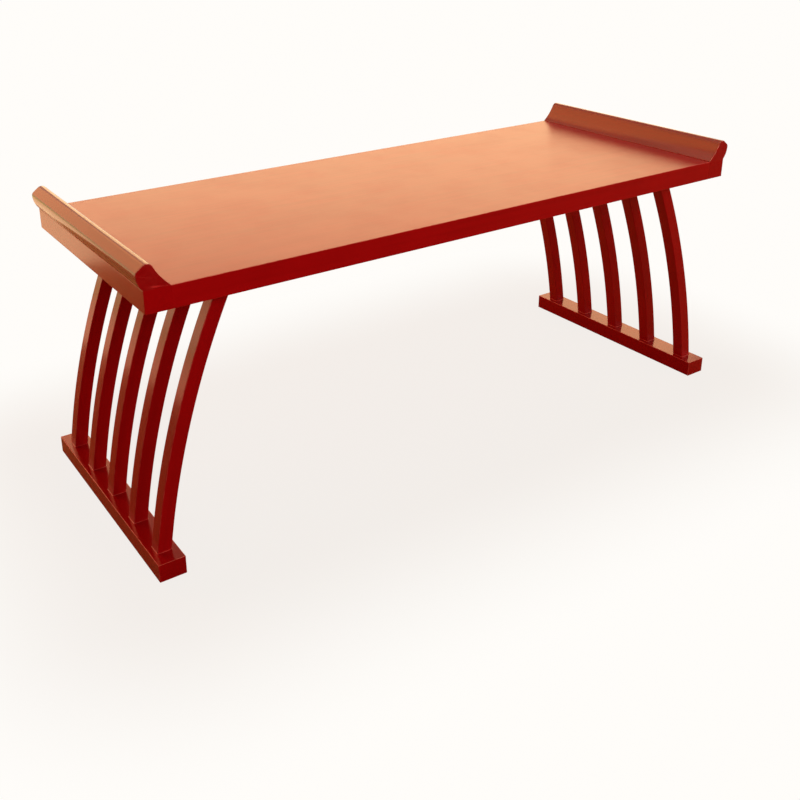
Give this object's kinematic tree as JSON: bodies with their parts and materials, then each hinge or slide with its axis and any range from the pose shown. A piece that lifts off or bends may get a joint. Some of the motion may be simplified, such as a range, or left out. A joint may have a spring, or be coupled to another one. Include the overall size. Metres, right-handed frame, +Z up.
{
  "type": "calligraphy table",
  "caption": "Low rectangular writing table with an upturned flange along each end and fans of bowed slat legs standing in foot beams, in red gloss lacquer.",
  "frame": {"origin": "on the floor, under the middle of the table", "axes": "+X along the table from the left end to the right end, +Y from the front edge to the back edge, +Z up"},
  "size_m": [1.23, 0.46, 0.5035],
  "materials": {
    "red_lacquer": "deep red gloss lacquer over wood",
    "bare_wood": "bare planed wood, glued in place"
  },
  "bodies": {
    "root": {"top_board_front": "red_lacquer", "top_board_middle": "red_lacquer", "top_board_back": "red_lacquer", "left_end_cleat": "red_lacquer", "right_end_cleat": "red_lacquer", "left_flange": "red_lacquer", "right_flange": "red_lacquer", "left_batten": "red_lacquer", "right_batten": "red_lacquer", "left_slat_1": "red_lacquer", "left_slat_2": "red_lacquer", "left_slat_3": "red_lacquer", "left_slat_4": "red_lacquer", "left_slat_5": "red_lacquer", "right_slat_1": "red_lacquer", "right_slat_2": "red_lacquer", "right_slat_3": "red_lacquer", "right_slat_4": "red_lacquer", "right_slat_5": "red_lacquer", "left_foot_beam": "red_lacquer", "right_foot_beam": "red_lacquer", "front_loose_tongue": "bare_wood", "back_loose_tongue": "bare_wood", "left_flange_dowels": "bare_wood", "right_flange_dowels": "bare_wood"}
  },
  "joints": []
}
